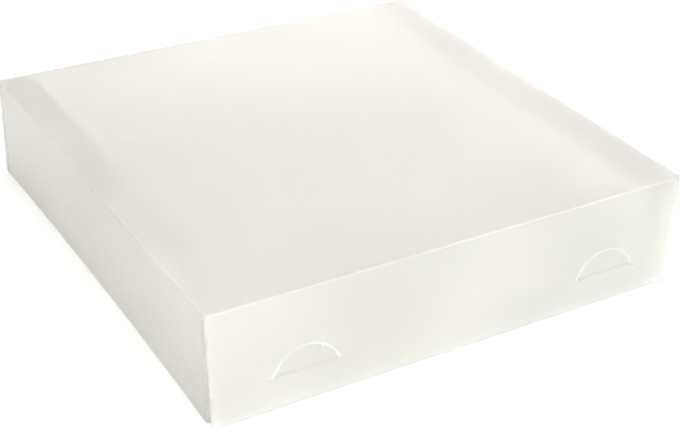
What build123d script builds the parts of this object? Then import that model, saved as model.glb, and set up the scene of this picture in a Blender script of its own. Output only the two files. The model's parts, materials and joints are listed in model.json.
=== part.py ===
from build123d import *
import os
from math import radians, cos, sin

# A shallow square gift box, die-cut from one sheet of frosted polypropylene, folded and glued.
# The sheet is divided into three nodes at its two working folds: the tray, the lid that turns
# on the tray's back wall, and the front flap that turns on the lid's front edge.
# Millimetres. +Z is up, the front flap faces -Y, and the origin is the centre of the tray's
# underside. The box is modelled closed, with the front flap standing a little off the wall.

# The box when closed
width = 305.0
tray_depth = 304.0
height = 66.0

# The sheet and its creases
sheet = 0.6
half_sheet = sheet / 2
crease_radius = 0.7  # of the sheet's middle line, at the folds that stay folded
bead_gap = 0.05  # from the round bead of a working fold to the panel that turns on it
play = 0.3  # under the closed lid, and between the front wall and the front flap

# The tray's corner tabs and the dust flaps along the tops of its side walls
corner_notch = 1.5  # die-cut relief where two base folds meet
tab_length = 18.0
tab_taper = 3.0
dust_flap_length = 22.5
dust_flap_corner = 7.0
dust_flap_end_gap = 1.5
left_droop = 1.5  # degrees below level
right_droop = 11.0

# The front flap, with its two half-moon locking tongues
flap_length = 65.0
flap_corner_radius = 5.0
flap_lean = 5.0  # degrees off the front wall at rest
tongue_centre = 97.5  # from the middle of the flap
tongue_half_width = 20.0
tongue_root_drop = 46.5  # from the lid's top face down to the tongue's crease
tongue_height = 13.5
slit_width = 0.15
hook_radius = 1.7
hook_sweep = 150.0
crease_groove_radius = 3.0  # of the rounded groove pressed across a tongue's root
crease_groove_depth = 0.2
lock_slot_length = 34.0
lock_slot_height = 1.6

# Places worked out from the sizes above
side_x = width / 2 - half_sheet  # middle of a side wall
wall_y = tray_depth / 2 - half_sheet  # middle of the front or back wall
rim_z = height - sheet - play  # top of the side and front walls
fold_z = height - half_sheet  # both working folds
lid_fold_y = wall_y
flap_fold_y = -tray_depth / 2 - play - half_sheet
panel_start = half_sheet + bead_gap  # from a working fold to the edge of the panel on it


def folded_strip(points, plane, length):
    """Sheet that follows a line of points, rounded at each inner point, centred on the plane."""
    line = FilletPolyline(*points, radius=crease_radius)
    return extrude(plane * trace(line, line_width=sheet), amount=length / 2, both=True)


def dust_flap_edge(side, droop):
    """Free edge of a dust flap in X and Z: side is -1 on the left and 1 on the right."""
    reach = dust_flap_length - half_sheet
    return (
        side * (side_x - reach * cos(radians(droop))),
        rim_z - half_sheet - reach * sin(radians(droop)),
    )


def base_and_sides():
    """Base, side walls and dust flaps, in one strip across the box."""
    rim = rim_z - half_sheet
    points = [
        dust_flap_edge(-1, left_droop),
        (-side_x, rim),
        (-side_x, half_sheet),
        (side_x, half_sheet),
        (side_x, rim),
        dust_flap_edge(1, right_droop),
    ]
    strip = folded_strip(points, Plane.XZ, tray_depth - 2 * corner_notch)
    for side in (-1, 1):
        for end in (-1, 1):
            strip -= dust_flap_trim(side, end)
    return strip


def dust_flap_trim(side, end):
    """What is cut from the end of a dust flap: a clearance off the wall and a slanted corner."""
    wall_face = tray_depth / 2 - sheet
    end_y = wall_face - dust_flap_end_gap - sheet
    tip_x = side_x - dust_flap_length
    root_x = side_x - crease_radius - half_sheet
    outline = [
        (root_x, wall_face + sheet),
        (root_x, end_y),
        (tip_x + dust_flap_corner, end_y),
        (tip_x - sheet, end_y - dust_flap_corner),
        (tip_x - sheet, wall_face + sheet),
    ]
    prism_height = height / 2
    prism = extrude(make_face(Polyline(*outline, close=True)), amount=prism_height)
    if side < 0:
        prism = mirror(prism, about=Plane.YZ)
    if end < 0:
        prism = mirror(prism, about=Plane.XZ)
    return Pos(0, 0, height - prism_height) * prism


def end_wall(end, top):
    """Front (end -1) or back (end 1) wall, folded up from the base."""
    points = [(0, half_sheet), (end * wall_y, half_sheet), (end * wall_y, top)]
    strip = folded_strip(points, Plane.YZ, width - 2 * corner_notch)
    panel_height = top - corner_notch
    panel = Box(width, sheet, panel_height)
    return strip + Pos(0, end * wall_y, corner_notch + panel_height / 2) * panel


def corner_tab(side, end):
    """Tab that turns the corner from a side wall and is glued inside the front or back wall."""
    tab_y = wall_y - sheet
    low = sheet + corner_notch
    high = rim_z - corner_notch
    line = [(side_x, tab_y - tab_length), (side_x, tab_y), (side_x - tab_length, tab_y)]
    strip = folded_strip(line, Plane.XY.offset((low + high) / 2), high - low)
    outline = [
        (width / 2, low),
        (width / 2, high),
        (side_x - crease_radius, high),
        (side_x - tab_length, high - tab_taper),
        (side_x - tab_length, low + tab_taper),
        (side_x - crease_radius, low),
    ]
    shape = extrude(Plane.XZ * make_face(Polyline(*outline, close=True)), amount=-tray_depth)
    tab = strip & shape
    if side < 0:
        tab = mirror(tab, about=Plane.YZ)
    if end < 0:
        tab = mirror(tab, about=Plane.XZ)
    return tab


def lock_slots():
    """Slots in the front wall that take the front flap's tongues."""
    slot = extrude(Plane.XZ * SlotOverall(lock_slot_length, lock_slot_height), amount=sheet, both=True)
    slot_z = height - tongue_root_drop + lock_slot_height
    return [Pos(x, -wall_y, slot_z) * slot for x in (-tongue_centre, tongue_centre)]


def fold_bead(y):
    """Round bead along a working fold."""
    return Pos(0, y, fold_z) * Rot(0, 90, 0) * Cylinder(half_sheet, width)


def make_tray():
    """Base, four walls, corner tabs, dust flaps and the bead that the lid turns on."""
    tray = base_and_sides() + end_wall(-1, rim_z) + end_wall(1, fold_z) + fold_bead(lid_fold_y)
    for side in (-1, 1):
        for end in (-1, 1):
            tray += corner_tab(side, end)
    for slot in lock_slots():
        tray -= slot
    return tray


def make_lid():
    """Top panel, with the bead that the front flap turns on along its front edge."""
    back_y = lid_fold_y - panel_start
    panel = Box(width, back_y - flap_fold_y, sheet)
    return Pos(0, (back_y + flap_fold_y) / 2, fold_z) * panel + fold_bead(flap_fold_y)


def tongue_slit(centre_x, root_z):
    """Half-moon cut, arched upwards, with a small outward hook at each end to stop tearing."""
    arch = ThreePointArc(
        (centre_x - tongue_half_width, root_z),
        (centre_x, root_z + tongue_height),
        (centre_x + tongue_half_width, root_z),
    )
    right_hook = JernArc(arch @ 1, arch % 1, hook_radius, hook_sweep)
    left_hook = JernArc(arch @ 0, -(arch % 0), hook_radius, -hook_sweep)
    cut = Sketch() + [trace(line, line_width=slit_width) for line in (arch, right_hook, left_hook)]
    return extrude(Plane.XZ * cut, amount=sheet, both=True)


def tongue_crease(centre_x, root_z):
    """Shallow rounded groove across a tongue's root, in the outer face."""
    length = 2 * (tongue_half_width - hook_radius)
    tool_y = crease_groove_depth - half_sheet - crease_groove_radius
    return Pos(centre_x, tool_y, root_z) * Rot(0, 90, 0) * Cylinder(crease_groove_radius, length)


def make_front_flap():
    """Outer front panel, made hanging straight down from its fold and then leant outwards."""
    fold_to_edge = flap_length - half_sheet
    panel_height = fold_to_edge - panel_start
    panel = Pos(0, 0, -panel_start - panel_height / 2) * Box(width, sheet, panel_height)
    lower_corners = panel.edges().filter_by(Axis.Y).group_by(Axis.Z)[0]
    flap = fillet(lower_corners, flap_corner_radius)
    root_z = half_sheet - tongue_root_drop
    for centre_x in (-tongue_centre, tongue_centre):
        flap = flap - tongue_slit(centre_x, root_z) - tongue_crease(centre_x, root_z)
    return Pos(0, flap_fold_y, fold_z) * Rot(-flap_lean, 0, 0) * flap


os.makedirs("parts", exist_ok=True)
export_step(make_tray(), "parts/tray.step")
export_step(make_lid(), "parts/lid.step")
export_step(make_front_flap(), "parts/front_flap.step")
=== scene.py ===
import json
from math import cos, radians, sin

import bmesh
import bpy
import numpy as np
from mathutils import Matrix, Vector
from mathutils.bvhtree import BVHTree


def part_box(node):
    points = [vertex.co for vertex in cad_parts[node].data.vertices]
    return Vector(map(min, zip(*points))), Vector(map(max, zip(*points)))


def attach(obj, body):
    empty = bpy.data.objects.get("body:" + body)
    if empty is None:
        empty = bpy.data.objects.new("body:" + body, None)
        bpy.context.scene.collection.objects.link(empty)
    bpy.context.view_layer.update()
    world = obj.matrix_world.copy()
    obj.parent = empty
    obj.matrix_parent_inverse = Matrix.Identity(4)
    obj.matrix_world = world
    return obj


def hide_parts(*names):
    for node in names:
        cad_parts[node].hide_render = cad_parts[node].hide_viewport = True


# A gift box folded from frosted polypropylene sheet. Each CAD node is copied, cut finely enough to
# bend, given the slight bows of a real thin sheet, and finished with a translucent material.
# Metres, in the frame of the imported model: +Z up, front flap towards -Y.

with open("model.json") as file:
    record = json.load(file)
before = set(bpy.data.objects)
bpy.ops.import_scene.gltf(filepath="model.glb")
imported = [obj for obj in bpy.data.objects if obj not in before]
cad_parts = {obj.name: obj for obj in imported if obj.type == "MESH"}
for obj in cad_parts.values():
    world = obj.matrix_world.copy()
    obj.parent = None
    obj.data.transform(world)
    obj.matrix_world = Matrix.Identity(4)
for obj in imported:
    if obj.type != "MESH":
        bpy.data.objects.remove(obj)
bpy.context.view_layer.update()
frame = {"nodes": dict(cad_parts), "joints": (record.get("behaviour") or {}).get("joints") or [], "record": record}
MM = 0.001

tray_low, tray_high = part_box("tray")
lid_low, lid_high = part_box("lid")
WIDTH = tray_high.x - tray_low.x
DEPTH = tray_high.y - tray_low.y
HEIGHT = tray_high.z
SHEET = lid_high.z - lid_low.z
JOINTS = {joint["name"]: joint for joint in frame["joints"]}
FLAP_FOLD = Vector(JOINTS["flap_hinge"]["pos_m"])
LID_FOLD = Vector(JOINTS["lid_hinge"]["pos_m"])

# The front flap leans outwards from its fold
flap_low, flap_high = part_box("front_flap")
FLAP_DOWN = Vector((0, flap_low.y - FLAP_FOLD.y, flap_low.z - FLAP_FOLD.z)).normalized()
FLAP_OUTWARD = FLAP_DOWN.cross(Vector((1, 0, 0)))
FLAP_LENGTH = (FLAP_FOLD.z - flap_low.z) / -FLAP_DOWN.z

# Camera: where it looks from, and how far the middle of the picture is from the box's base centre
VIEW_AZIMUTH = radians(-31.06)
VIEW_ELEVATION = radians(30.25)
VIEW_ROLL = radians(1.6)
VIEW_DISTANCE = 0.9107
AIM_RIGHT = 0.0124
AIM_UP = 0.0022
LENS_MM = 76.3
SENSOR_MM = 36.0
CLIP_START = 0.05

# Colours
TRAY_TINT = (0.95, 0.95, 0.925)
LID_TINT = (0.955, 0.947, 0.925)
# The front flap is the same sheet as the lid and tray; its darker, slightly greener tint is painted shade, set to
# match its tone
FLAP_TINT = (0.925, 0.928, 0.905)
# Whitened colour along folds and cuts: partly the sheet's own stress whitening, partly a painted highlight where
# folds and cut edges catch the light
WHITENED_AND_HIGHLIT = (0.995, 0.995, 0.98)  # along folds and cuts
# Painted shade along the crease at each tongue's root: a darker colour standing in for the shade there
PAINTED_ROOT_SHADE = (0.88, 0.88, 0.855)  # where a tongue's root is pressed
CUT_TINT = (0.97, 0.97, 0.95)
LID_CUT_TINT = (0.9, 0.89, 0.86)
PAPER = (0.93, 0.93, 0.93)

# Floor
FLOOR_SIZE = 12
FLOOR_GAP = 0.1 * MM  # the base is never quite flat on the floor
PAPER_ROUGHNESS = 0.9
FLOOR_GLOW = 0.2

# Light: each softbox's place, size, power and colour
WORLD_GLOW = 0.4
SOFTBOXES = {
    "top": ((0, 0, 1.8), (1.5, 1.5), 13.0, (1, 0.95, 0.89)),
    "top_front": ((0.1, -0.9, 1.6), (1.0, 1.0), 9.0, (1, 0.98, 0.95)),
    "left": ((-1.3, -0.5, 0.3), (0.9, 0.5), 1.4, (1, 0.88, 0.75)),
    "near_left": ((-0.8, -0.6, 0.35), (0.4, 0.3), 3.0, (1, 0.98, 0.95)),
    "front": ((0.3, -1.5, 0.5), (1.4, 0.8), 6.0, (1, 1, 0.98)),
    "right_high": ((1.1, -0.2, 1.2), (1.0, 1.0), 14.0, (0.98, 0.99, 1)),
    "back_right": ((0.7, 1.18, 0.67), (0.8, 0.5), 5.0, (1, 0.98, 0.96)),
}

# How the sheet rests
GRID = 8 * MM  # longest side of a cut face
FLAP_GRID = 2 * MM  # finer, for the tongues
SIDE_BOW = 1.3 * MM  # side walls pull in at mid-length
SIDE_FOCUS = 6  # power of the distance across the box that keeps the bow close to the side walls
BASE_LIFT = 1.3 * MM  # and their lower folds lift off the floor there
LID_SAG = 0.9 * MM  # at the middle of the lid
FLAP_BULGE = 0.6 * MM  # outwards, at the middle of the front flap
TONGUE_SPRING = 0.6 * MM  # how far the tip of a tongue has stayed pushed in

# The two half-moon tongues in the front flap: the arc of each cut, and the straight root below it
TONGUE_CENTRE = 97.5 * MM
TONGUE_ROOT_DROP = 46.5 * MM
TONGUE_HALF_WIDTH = 20 * MM
TONGUE_HEIGHT = 13.5 * MM
HOOK_RADIUS = 1.7 * MM
ARC_NARROWING = 0.05 * MM  # the cuts whiten less of the sheet than the folds do
ARC_RADIUS = (TONGUE_HALF_WIDTH ** 2 + TONGUE_HEIGHT ** 2) / (2 * TONGUE_HEIGHT)
ARC_CENTRE_DROP = TONGUE_ROOT_DROP - TONGUE_HEIGHT + ARC_RADIUS

# Cutting up and smoothing the CAD meshes
WELD = 1e-6
CUT_TOLERANCE = 1e-7
FLAT_ANGLE = radians(0.3)
SHARP_ANGLE = radians(35)
JUST_INSIDE = 0.01 * MM
RIM_DEPTH = 3 * MM  # a face backed by more plastic than this is a cut edge

# The plastic: how clear it is, and how far it whitens at its folds and cuts, where the whitening is partly the
# sheet's own stress whitening and partly a painted highlight
POLYPROPYLENE_IOR = 1.49
LID_CLEARNESS = 0.87
TRAY_CLEARNESS = 0.8
# The front flap's lower clearness, on the same sheet, is likewise painted shade set to match its tone
FLAP_CLEARNESS = 0.7
CREASE_CLEARNESS = 0.45
LID_WHITENING_AND_HIGHLIGHT = 0.4
TRAY_WHITENING = 0.5
FLAP_WHITENING_AND_HIGHLIGHT = 1.0
GLUE_WHITENING = 0.15  # slows the fading of the whitening along the glued ends of the front and back walls
WHITENING_AND_HIGHLIGHT_REACH = (0.4 * MM, 1.0 * MM)  # full up to the first distance, gone by the second
# How far the painted shade at the tongues' roots reaches
PAINTED_ROOT_SHADE_REACH = (0.3 * MM, 1.5 * MM)

# The plastic's surface: soft clouds, a fine grain and a slow ripple, and streaks along its cuts.
# Each noise is its scale, detail and roughness.
CLOUD_NOISE = (22.0, 4.0, 0.55)
CLOUD_TINT_RANGE = (0.35, 0.7)
CLOUD_LIGHTENING = 1.025
CLOUD_ROUGHNESS_RANGE = (0.3, 0.75)
CLOUD_ROUGHNESS = (0.5, 0.6)
GRAIN_NOISE = (2600.0, 2.0, 0.6)
GRAIN_STRENGTH = 0.25
GRAIN_HEIGHT = 0.02 * MM
RIPPLE_NOISE = (45.0, 2.0, 0.5)
RIPPLE_STRENGTH = 0.35
RIPPLE_HEIGHT = 0.25 * MM
STREAK_NOISE = (900.0, 2.0, 0.5)
STREAK_RANGE = (0.3, 0.7)
STREAK_DARKENING = 0.96
CUT_ROUGHNESS = 0.5


def crown(value, half_span):
    """1 at the middle of a span, falling smoothly to 0 at its ends."""
    return np.clip(1 - (value / half_span) ** 2, 0, 1)


def settle_tray(co):
    """Side walls pulled in and lifted at mid-length, with the rim moving as the lid does."""
    x, y, z = co.T
    along = crown(y, DEPTH / 2)
    side = np.clip(np.abs(x) / (WIDTH / 2), 0, 1) ** SIDE_FOCUS
    height = z / HEIGHT
    moved = co.copy()
    moved[:, 0] -= np.sign(x) * SIDE_BOW * along * side * (1 - height ** 3)
    moved[:, 2] += BASE_LIFT * along * side * (1 - height) ** 2
    moved[:, 2] -= lid_sag(x, y) * height ** 4
    return moved


def lid_sag(x, y):
    """How far the lid has sunk at a place, from nothing at its edges."""
    return LID_SAG * crown(x, WIDTH / 2) * crown(y, DEPTH / 2)


def settle_lid(co):
    """Lid sagged under its own weight."""
    moved = co.copy()
    moved[:, 2] -= lid_sag(co[:, 0], co[:, 1])
    return moved


def settle_flap(co):
    """Front flap bulged very slightly outwards, with the tips of its tongues pushed in a little."""
    across, drop = on_flap(co)
    bulge = FLAP_BULGE * crown(across, WIDTH / 2) * np.sin(np.pi * np.clip(drop / FLAP_LENGTH, 0, 1))
    rise = np.clip((TONGUE_ROOT_DROP - drop) / TONGUE_HEIGHT, 0, 1)
    spring = TONGUE_SPRING * rise ** 1.5 * (slit_offset(across, drop) < 0)
    return co + np.outer(bulge - spring, FLAP_OUTWARD)


def on_flap(co):
    """Place on the front flap: across it from the middle, and down it from the lid's top face."""
    return co[:, 0], (co - np.array(FLAP_FOLD)) @ np.array(FLAP_DOWN) + SHEET / 2


def slit_offset(across, drop):
    """Signed distance from the nearer tongue's arc: negative inside the tongue's circle."""
    from_centre = np.hypot(np.abs(across) - TONGUE_CENTRE, drop - ARC_CENTRE_DROP)
    return from_centre - ARC_RADIUS


def tray_lines(co):
    """Distance to the nearest edge of the box: the middle one of the three distances to its faces.

    On the outside of the front and back walls it grows more slowly, for the glued corners.
    """
    x, y, z = co.T
    distances = np.stack([WIDTH / 2 - np.abs(x), DEPTH / 2 - np.abs(y), np.minimum(z, HEIGHT - z)])
    to_edge = np.median(np.abs(distances), axis=0)
    glued = np.where(np.abs(y) > DEPTH / 2 - SHEET / 2, np.abs(distances[0]) * GLUE_WHITENING, to_edge)
    return {"whitening_and_highlight_at": np.minimum(to_edge, glued)}


def lid_lines(co):
    """Distance to the nearer of the lid's two folds."""
    y = co[:, 1]
    return {"whitening_and_highlight_at": np.minimum(np.abs(y - FLAP_FOLD.y), np.abs(y - LID_FOLD.y))}


def flap_lines(co):
    """Distance to the top fold or to a tongue's arc, for the whitening and its painted highlight, and distance to
    the crease at a tongue's root, for the painted shade there.
    """
    across, drop = on_flap(co)
    # The arcs of the tongue cuts carry the whitening and its painted highlight
    to_arc = np.where(drop < TONGUE_ROOT_DROP, np.abs(slit_offset(across, drop)) + ARC_NARROWING, 1.0)
    past_end = np.clip(np.abs(np.abs(across) - TONGUE_CENTRE) - TONGUE_HALF_WIDTH + HOOK_RADIUS, 0, None)
    # Distance for the painted shade along each tongue's root crease
    to_root = np.hypot(past_end, drop - TONGUE_ROOT_DROP)
    return {"whitening_and_highlight_at": np.minimum(drop, to_arc), "painted_root_shade_at": to_root}


def cut_along_grid(bm, low, high, grid):
    """Cuts every face along planes on the three axes, no more than the grid apart."""
    for axis in range(3):
        count = int((high[axis] - low[axis]) / grid)
        normal = [0, 0, 0]
        normal[axis] = 1
        for step in range(1, count + 1):
            point = list(low)
            point[axis] += (high[axis] - low[axis]) * step / (count + 1)
            everything = bm.verts[:] + bm.edges[:] + bm.faces[:]
            bmesh.ops.bisect_plane(
                bm, geom=everything, dist=CUT_TOLERANCE, plane_co=point, plane_no=normal
            )


def mark_cut_edges(bm):
    """Gives the second material to faces at the sheet's cut edges, where the plastic behind is deep."""
    tree = BVHTree.FromBMesh(bm)
    for face in bm.faces:
        inward = -face.normal
        start = face.calc_center_median() + inward * JUST_INSIDE
        reached = tree.ray_cast(start, inward)
        face.material_index = 1 if reached[3] is None or reached[3] > RIM_DEPTH else 0


def sheet_piece(node, name, grid, settle, lines, materials):
    """A finely cut, gently bent copy of a CAD node, which it replaces."""
    low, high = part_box(node)
    bm = bmesh.new()
    bm.from_mesh(frame["nodes"][node].data)
    bmesh.ops.remove_doubles(bm, verts=bm.verts, dist=WELD)
    bmesh.ops.dissolve_limit(bm, angle_limit=FLAT_ANGLE, verts=bm.verts, edges=bm.edges)
    cut_along_grid(bm, low, high, grid)
    bmesh.ops.triangulate(bm, faces=bm.faces)
    mark_cut_edges(bm)
    mesh = bpy.data.meshes.new(name)
    bm.to_mesh(mesh)
    bm.free()
    for material in materials:
        mesh.materials.append(material)
    co = np.array([vertex.co for vertex in mesh.vertices])
    for line_name, distance in lines(co).items():
        attribute = mesh.attributes.new(line_name, "FLOAT", "POINT")
        attribute.data.foreach_set("value", distance.astype(np.float32))
    mesh.vertices.foreach_set("co", settle(co).astype(np.float32).ravel())
    mesh.shade_smooth()
    mesh.set_sharp_from_angle(angle=SHARP_ANGLE)
    piece = bpy.data.objects.new(name, mesh)
    bpy.context.scene.collection.objects.link(piece)
    body = next(b for b, members in frame["record"]["behaviour"]["bodies"].items() if node in members)
    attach(piece, body)
    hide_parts(node)


class Nodes:
    """Short calls for building a material's node tree."""

    MIX_COLOURS = (6, 7)  # where the Mix node keeps its two colours, and below, its colour result
    MIX_RESULT = 2

    def __init__(self, name):
        self.material = bpy.data.materials.new(name)
        self.material.use_nodes = True
        self.tree = self.material.node_tree
        self.shader = self.tree.nodes["Principled BSDF"]

    def add(self, kind, settings=None, **inputs):
        node = self.tree.nodes.new(kind)
        for key, value in (settings or {}).items():
            setattr(node, key, value)
        for key, value in inputs.items():
            self.feed(node, key.replace("_", " "), value)
        return node

    def feed(self, node, socket, value):
        if isinstance(value, bpy.types.NodeSocket):
            self.tree.links.new(value, node.inputs[socket])
        else:
            node.inputs[socket].default_value = value

    def noise(self, position, scale, detail, roughness):
        node = self.add("ShaderNodeTexNoise", None, Scale=scale, Detail=detail, Roughness=roughness)
        self.tree.links.new(position, node.inputs["Vector"])
        return node.outputs["Fac"]

    def ramp(self, value, span, to_low=0.0, to_high=1.0):
        low, high = span
        node = self.add("ShaderNodeMapRange", {"interpolation_type": "SMOOTHSTEP"})
        self.feed(node, "Value", value)
        for key, number in (("From Min", low), ("From Max", high), ("To Min", to_low), ("To Max", to_high)):
            self.feed(node, key, number)
        return node.outputs["Result"]

    def attribute(self, name):
        return self.add("ShaderNodeAttribute", {"attribute_name": name}).outputs["Fac"]

    def mix(self, factor, first, second):
        node = self.add("ShaderNodeMix", {"data_type": "RGBA"})
        self.feed(node, "Factor", factor)
        for index, value in zip(self.MIX_COLOURS, (first, second)):
            if isinstance(value, bpy.types.NodeSocket):
                self.tree.links.new(value, node.inputs[index])
            else:
                node.inputs[index].default_value = value
        return node.outputs[self.MIX_RESULT]


def frosted_sheet(name, tint, clearness, whitening_and_highlight, paint_root_shade=False):
    """Frosted polypropylene: cloudy, finely grained, whiter and less clear along its folds and cuts (partly stress
    whitening, partly a painted highlight), with painted shade at the tongues' roots when asked.
    """
    n = Nodes(name)
    position = n.add("ShaderNodeTexCoord").outputs["Object"]
    cloud = n.noise(position, *CLOUD_NOISE)
    grain = n.noise(position, *GRAIN_NOISE)
    ripple = n.noise(position, *RIPPLE_NOISE)
    clouded = [min(1, channel * CLOUD_LIGHTENING) for channel in tint]
    colour = n.mix(n.ramp(cloud, CLOUD_TINT_RANGE), [*tint, 1], [*clouded, 1])
    # Whiter and less clear near folds and cuts: stress whitening plus a painted highlight
    crease = n.ramp(n.attribute("whitening_and_highlight_at"), WHITENING_AND_HIGHLIGHT_REACH, whitening_and_highlight, 0.0)
    if paint_root_shade:
        # Painted shade: the colour darkens along the tongues' root creases
        root = n.ramp(n.attribute("painted_root_shade_at"), PAINTED_ROOT_SHADE_REACH, 1.0, 0.0)
        colour = n.mix(root, colour, [*PAINTED_ROOT_SHADE, 1])
    n.feed(n.shader, "Base Color", n.mix(crease, colour, [*WHITENED_AND_HIGHLIT, 1]))
    n.feed(n.shader, "Roughness", n.ramp(cloud, CLOUD_ROUGHNESS_RANGE, *CLOUD_ROUGHNESS))
    n.feed(n.shader, "Transmission Weight", n.ramp(crease, (0.0, 1.0), clearness, CREASE_CLEARNESS))
    n.feed(n.shader, "IOR", POLYPROPYLENE_IOR)
    fine = n.add("ShaderNodeBump", None, Strength=GRAIN_STRENGTH, Distance=GRAIN_HEIGHT, Height=grain)
    bump = n.add("ShaderNodeBump", None, Strength=RIPPLE_STRENGTH, Distance=RIPPLE_HEIGHT, Height=ripple)
    n.feed(bump, "Normal", fine.outputs["Normal"])
    n.feed(n.shader, "Normal", bump.outputs["Normal"])
    return n.material


def cut_edge(name, tint, clearness):
    """The sheet's sheared edge, rougher and streaked along the cut."""
    n = Nodes(name)
    position = n.add("ShaderNodeTexCoord").outputs["Object"]
    streaks = n.noise(position, *STREAK_NOISE)
    darker = [channel * STREAK_DARKENING for channel in tint]
    n.feed(n.shader, "Base Color", n.mix(n.ramp(streaks, STREAK_RANGE), [*darker, 1], [*tint, 1]))
    n.feed(n.shader, "Roughness", CUT_ROUGHNESS)
    n.feed(n.shader, "Transmission Weight", clearness)
    n.feed(n.shader, "IOR", POLYPROPYLENE_IOR)
    return n.material


def make_floor():
    """Plain white floor, bright enough to read as a paper sweep."""
    bpy.ops.mesh.primitive_plane_add(size=FLOOR_SIZE, location=(0, 0, -FLOOR_GAP))
    floor = bpy.context.object
    floor.name = "floor"
    n = Nodes("floor_paper")
    n.feed(n.shader, "Base Color", [*PAPER, 1])
    n.feed(n.shader, "Roughness", PAPER_ROUGHNESS)
    n.feed(n.shader, "Emission Color", [1, 1, 1, 1])
    n.feed(n.shader, "Emission Strength", FLOOR_GLOW)
    floor.data.materials.append(n.material)


def softbox(name, place, size, power, colour):
    """Soft light aimed at the middle of the box, seen only by what it lights."""
    light = bpy.data.lights.new(name, "AREA")
    light.shape = "RECTANGLE"
    light.size, light.size_y = size
    light.energy = power
    light.color = colour
    lamp = bpy.data.objects.new(name, light)
    lamp.location = place
    towards_box = Vector((0, 0, HEIGHT / 2)) - Vector(place)
    lamp.rotation_euler = towards_box.to_track_quat("-Z", "Y").to_euler()
    lamp.visible_camera = False
    bpy.context.scene.collection.objects.link(lamp)


def light_studio():
    """Even white surroundings and the softboxes."""
    world = bpy.data.worlds.new("studio")
    bpy.context.scene.world = world
    world.use_nodes = True
    background = world.node_tree.nodes["Background"]
    background.inputs["Color"].default_value = (1, 1, 1, 1)
    background.inputs["Strength"].default_value = WORLD_GLOW
    for name, (place, size, power, colour) in SOFTBOXES.items():
        softbox(name, place, size, power, colour)


def place_camera():
    """Camera looking down on the front left corner, turned a little by the roll."""
    back = Vector((
        sin(VIEW_AZIMUTH) * cos(VIEW_ELEVATION),
        -cos(VIEW_AZIMUTH) * cos(VIEW_ELEVATION),
        sin(VIEW_ELEVATION),
    ))
    right = Vector((0, 0, 1)).cross(back).normalized()
    up = back.cross(right)
    turned_right = cos(VIEW_ROLL) * right + sin(VIEW_ROLL) * up
    turned_up = cos(VIEW_ROLL) * up - sin(VIEW_ROLL) * right
    camera = bpy.data.objects.new("camera", bpy.data.cameras.new("camera"))
    camera.data.lens = LENS_MM
    camera.data.sensor_width = SENSOR_MM
    camera.rotation_mode = "QUATERNION"
    camera.rotation_quaternion = Matrix((turned_right, turned_up, back)).transposed().to_quaternion()
    camera.location = turned_right * AIM_RIGHT + turned_up * AIM_UP + back * VIEW_DISTANCE
    camera.data.clip_start = CLIP_START
    bpy.context.scene.collection.objects.link(camera)
    bpy.context.scene.camera = camera


bpy.context.scene.view_settings.view_transform = "Standard"
place_camera()
light_studio()
make_floor()

edge = cut_edge("cut_edge", CUT_TINT, CREASE_CLEARNESS)
lid_edge = cut_edge("lid_edge", LID_CUT_TINT, LID_CLEARNESS)
tray_sheet = frosted_sheet("tray_sheet", TRAY_TINT, TRAY_CLEARNESS, TRAY_WHITENING)
lid_sheet = frosted_sheet("lid_sheet", LID_TINT, LID_CLEARNESS, LID_WHITENING_AND_HIGHLIGHT)
flap_sheet = frosted_sheet("flap_sheet", FLAP_TINT, FLAP_CLEARNESS, FLAP_WHITENING_AND_HIGHLIGHT, paint_root_shade=True)
sheet_piece("tray", "tray_shell", GRID, settle_tray, tray_lines, [tray_sheet, edge])
sheet_piece("lid", "lid_panel", GRID, settle_lid, lid_lines, [lid_sheet, lid_edge])
sheet_piece(
    "front_flap", "front_flap_panel", FLAP_GRID, settle_flap, flap_lines, [flap_sheet, edge]
)
